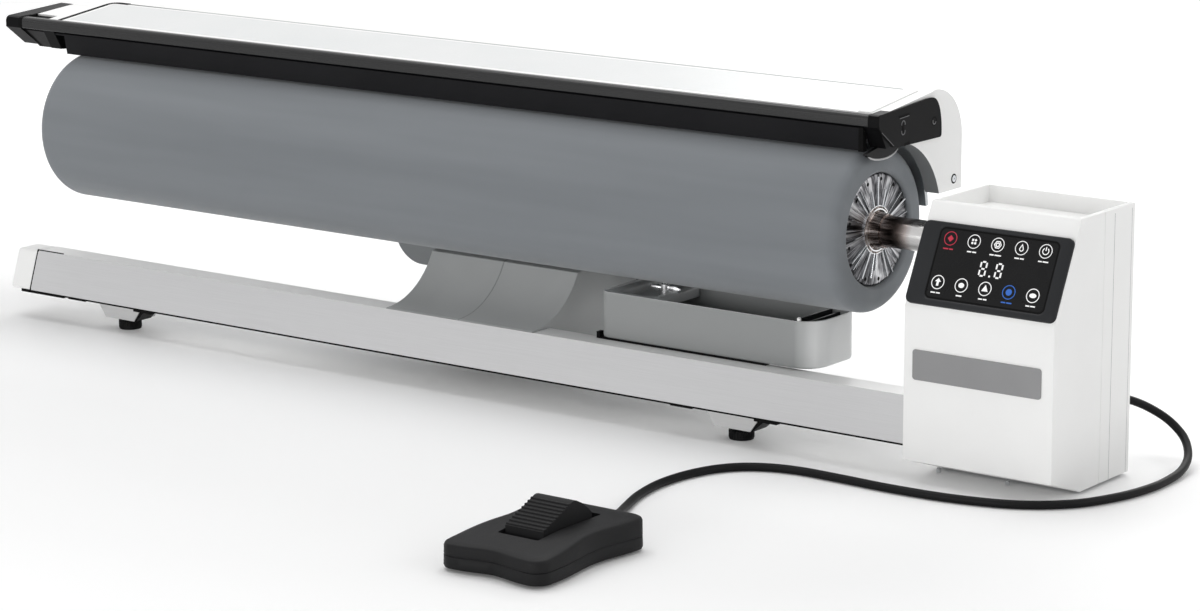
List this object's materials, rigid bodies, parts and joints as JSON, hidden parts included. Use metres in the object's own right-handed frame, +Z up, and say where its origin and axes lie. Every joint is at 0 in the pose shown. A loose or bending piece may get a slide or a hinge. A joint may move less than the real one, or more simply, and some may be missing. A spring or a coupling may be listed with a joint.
{
  "type": "flatwork ironer",
  "caption": "Tabletop flatwork ironer: padded roller held at one end by a control box, tilting heated casing above, beam base, water tray and a foot pedal on a cable.",
  "frame": {"origin": "centre of the whole object's footprint, on the table, pedal included and its cable left out", "axes": "+X along the roller towards the control box, +Y away from the operator, +Z up"},
  "size_m": [1.419, 0.72, 0.338],
  "materials": {
    "white_enamel": "satin white powder coat",
    "white_abs": "fine white moulded ABS",
    "beam_aluminium": "silver-grey coated extrusion",
    "grey_abs": "light grey moulded ABS",
    "rear_grey_abs": "mid grey moulded ABS",
    "black_aluminium": "black anodised, satin",
    "black_abs": "black moulded ABS",
    "padding_cloth": "grey polyester felt cover",
    "zinc_steel": "zinc-plated sheet",
    "chrome": "bright chrome plate",
    "bearing_steel": "ground bearing steel",
    "shoe_aluminium": "polished cast aluminium",
    "element_sheath": "oxidised steel sheath",
    "gear_nylon": "natural nylon",
    "brass": "cut brass",
    "motor_body": "grey motor enamel",
    "bezel_abs": "dark grey moulded ABS",
    "screen_glass": "black gloss with lit touch icons",
    "grey_label": "plain grey plate",
    "circuit_board": "green board with parts",
    "black_rubber": "black rubber",
    "pedal_abs": "charcoal moulded ABS"
  },
  "bodies": {
    "base": {"gear_motor": "motor_body", "bearing_plate_left": "zinc_steel", "bearing_plate_right": "zinc_steel", "bearing_left": "bearing_steel", "bearing_right": "bearing_steel", "box_front_shell": "white_abs", "box_rear_shell": "white_abs", "box_base": "zinc_steel", "box_feet": "black_rubber", "top_tray": "white_abs", "panel_bezel": "bezel_abs", "touch_screen": "screen_glass", "front_plate": "grey_label", "main_board": "circuit_board", "power_inlet": "black_abs", "pedal_gland": "black_abs", "base_beam": "beam_aluminium", "beam_end_cap": "white_enamel", "foot_brackets": "beam_aluminium", "rear_foot_bar": "beam_aluminium", "pedestal_left_shell": "grey_abs", "pedestal_right_shell": "grey_abs", "hinge_bracket": "zinc_steel", "hinge_pin": "chrome", "rear_housing": "rear_grey_abs", "rear_cover": "rear_grey_abs", "steam_generator": "bearing_steel", "water_pump": "motor_body", "tray_bracket": "black_abs", "pedal_base": "pedal_abs", "pedal_cable": "black_rubber"},
    "roller": {"roller_padding": "padding_cloth", "roller_core": "zinc_steel", "right_end_disc": "chrome", "left_end_disc": "chrome", "inner_bulkhead": "zinc_steel", "hub_collar": "chrome", "drive_shaft": "chrome", "shaft_gear": "gear_nylon"},
    "motor_pinion": {"motor_pinion": "brass", "motor_shaft": "zinc_steel"},
    "casing": {"casing_shell": "white_enamel", "right_end_plate": "white_enamel", "left_end_plate": "white_enamel", "top_panel": "white_enamel", "front_bar": "black_aluminium", "right_end_cap": "black_abs", "left_end_cap": "black_abs", "heated_shoe": "shoe_aluminium", "heating_elements": "element_sheath", "shoe_ribs": "zinc_steel", "hinge_arms": "zinc_steel"},
    "finger_guard": {"finger_guard": "black_aluminium"},
    "water_tray": {"water_tray": "grey_abs"},
    "wing_nut": {"wing_nut": "chrome"},
    "left_front_foot": {"left_front_foot": "black_rubber"},
    "right_front_foot": {"right_front_foot": "black_rubber"},
    "left_rear_foot": {"left_rear_foot": "black_rubber"},
    "right_rear_foot": {"right_rear_foot": "black_rubber"},
    "pedal_rocker": {"pedal_rocker": "pedal_abs"}
  },
  "joints": [
    {"name": "roller_spin", "type": "hinge", "parent": "base", "child": "roller", "pos_m": [0, 0.2, 0.212], "axis": [1, 0, 0], "continuous": true},
    {"name": "motor_spin", "type": "hinge", "parent": "base", "child": "motor_pinion", "pos_m": [0.575, 0.2, 0.1745], "axis": [1, 0, 0], "continuous": true},
    {"name": "casing_tilt", "type": "hinge", "parent": "base", "child": "casing", "pos_m": [-0.018, 0.299, 0.2], "axis": [-1, 0, 0], "range_deg": [0, 12]},
    {"name": "guard_swing", "type": "hinge", "parent": "casing", "child": "finger_guard", "pos_m": [-0.07, 0.1735, 0.312], "axis": [1, 0, 0], "range_deg": [0, 14]},
    {"name": "tray_slide", "type": "slide", "parent": "base", "child": "water_tray", "axis": [1, 0, 0], "range_m": [0, 0.12]},
    {"name": "wing_nut_turn", "type": "hinge", "parent": "water_tray", "child": "wing_nut", "pos_m": [0.196, 0.198, 0.115], "axis": [0, 0, 1], "continuous": true},
    {"name": "left_front_foot_level", "type": "slide", "parent": "base", "child": "left_front_foot", "axis": [0, 0, -1], "range_m": [0, 0.008]},
    {"name": "right_front_foot_level", "type": "slide", "parent": "base", "child": "right_front_foot", "axis": [0, 0, -1], "range_m": [0, 0.008]},
    {"name": "left_rear_foot_level", "type": "slide", "parent": "base", "child": "left_rear_foot", "axis": [0, 0, -1], "range_m": [0, 0.008]},
    {"name": "right_rear_foot_level", "type": "slide", "parent": "base", "child": "right_rear_foot", "axis": [0, 0, -1], "range_m": [0, 0.008]},
    {"name": "rocker_press", "type": "hinge", "parent": "base", "child": "pedal_rocker", "pos_m": [0.415, -0.276, 0.027], "axis": [1, 0, 0], "range_deg": [-6, 6], "stiffness_Nm_per_rad": 2}
  ],
  "couplings": [
    {"joint": "motor_spin", "follows": "roller_spin", "ratio": -1.7778}
  ]
}
